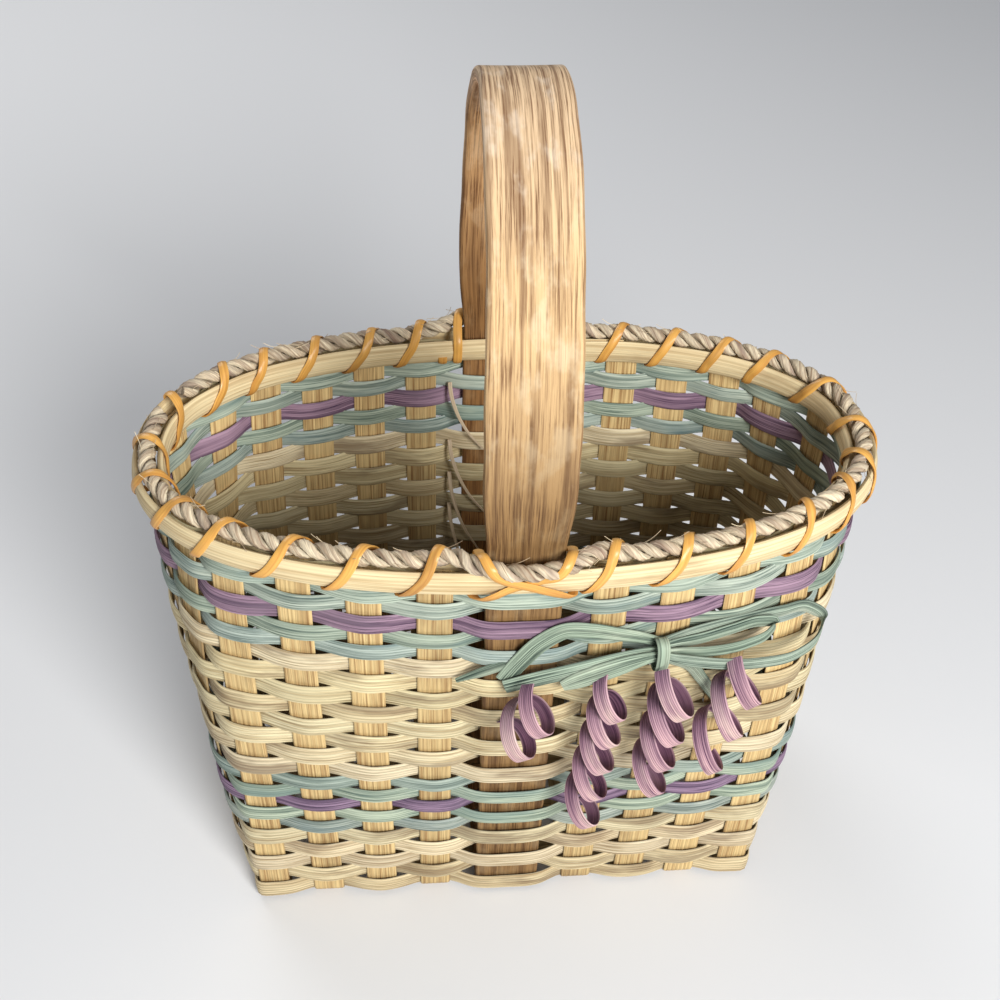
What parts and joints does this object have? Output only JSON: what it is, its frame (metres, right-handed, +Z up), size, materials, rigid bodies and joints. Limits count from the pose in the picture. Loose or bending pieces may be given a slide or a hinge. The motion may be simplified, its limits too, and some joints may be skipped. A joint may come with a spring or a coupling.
{
  "type": "splint basket",
  "caption": "Oval-mouthed woven reed basket with a fixed bent-wood handle over the middle, a lashed rim, dyed bands and a reed bow with curls.",
  "frame": {"origin": "on the ground under the middle of the base", "axes": "+Z up, +X along the long side of the mouth, -Y towards the front with the bow"},
  "size_m": [0.3502, 0.2051, 0.436],
  "materials": {
    "handle_wood": "honey-brown hardwood with a worn satin surface",
    "stake_reed": "matt straw-coloured flat reed with lengthwise grain",
    "natural_weaver": "matt straw-coloured flat-oval reed with lengthwise ridges",
    "green_weaver": "matt reed dyed sage green",
    "purple_weaver": "matt reed dyed muted purple",
    "rim_reed": "satin straw-coloured flat-oval reed",
    "seagrass": "rough twisted seagrass",
    "lashing_cane": "glossy golden cane",
    "bow_reed": "matt reed dyed sage green",
    "curl_reed": "matt reed dyed purple, faded to mauve",
    "loose_reed": "matt greyed reed"
  },
  "bodies": {
    "root": {"handle": "handle_wood", "crosswise_stake_1": "stake_reed", "crosswise_stake_2": "stake_reed", "crosswise_stake_3": "stake_reed", "crosswise_stake_4": "stake_reed", "crosswise_stake_5": "stake_reed", "crosswise_stake_6": "stake_reed", "crosswise_stake_7": "stake_reed", "crosswise_stake_8": "stake_reed", "lengthwise_stake_1": "stake_reed", "lengthwise_stake_2": "stake_reed", "lengthwise_stake_3": "stake_reed", "lengthwise_stake_4": "stake_reed", "lengthwise_stake_5": "stake_reed", "weaver_01_natural": "natural_weaver", "weaver_02_natural": "natural_weaver", "weaver_03_natural": "natural_weaver", "weaver_04_natural": "natural_weaver", "weaver_05_natural": "natural_weaver", "weaver_06_green": "green_weaver", "weaver_07_green": "green_weaver", "weaver_08_purple": "purple_weaver", "weaver_09_green": "green_weaver", "weaver_10_green": "green_weaver", "weaver_11_natural": "natural_weaver", "weaver_12_natural": "natural_weaver", "weaver_13_natural": "natural_weaver", "weaver_14_natural": "natural_weaver", "weaver_15_natural": "natural_weaver", "weaver_16_natural": "natural_weaver", "weaver_17_natural": "natural_weaver", "weaver_18_natural": "natural_weaver", "weaver_19_green": "green_weaver", "weaver_20_green": "green_weaver", "weaver_21_purple": "purple_weaver", "weaver_22_green": "green_weaver", "weaver_23_green": "green_weaver", "weaver_24_under_rim": "natural_weaver", "outer_rim": "rim_reed", "inner_rim": "rim_reed", "seagrass_filler": "seagrass", "lashing_left": "lashing_cane", "lashing_right": "lashing_cane", "bow_right_outer_loop": "bow_reed", "bow_right_inner_loop": "bow_reed", "bow_left_upper_leaf": "bow_reed", "bow_left_lower_leaf": "bow_reed", "bow_broad_leaf": "bow_reed", "bow_left_tail": "bow_reed", "bow_right_tail": "bow_reed", "bow_knot": "bow_reed", "curl_1": "curl_reed", "curl_2": "curl_reed", "curl_3": "curl_reed", "curl_4": "curl_reed", "loose_reed_end_1": "loose_reed", "loose_reed_end_2": "loose_reed", "loose_reed_end_3": "loose_reed", "loose_reed_end_4": "loose_reed"}
  },
  "joints": []
}
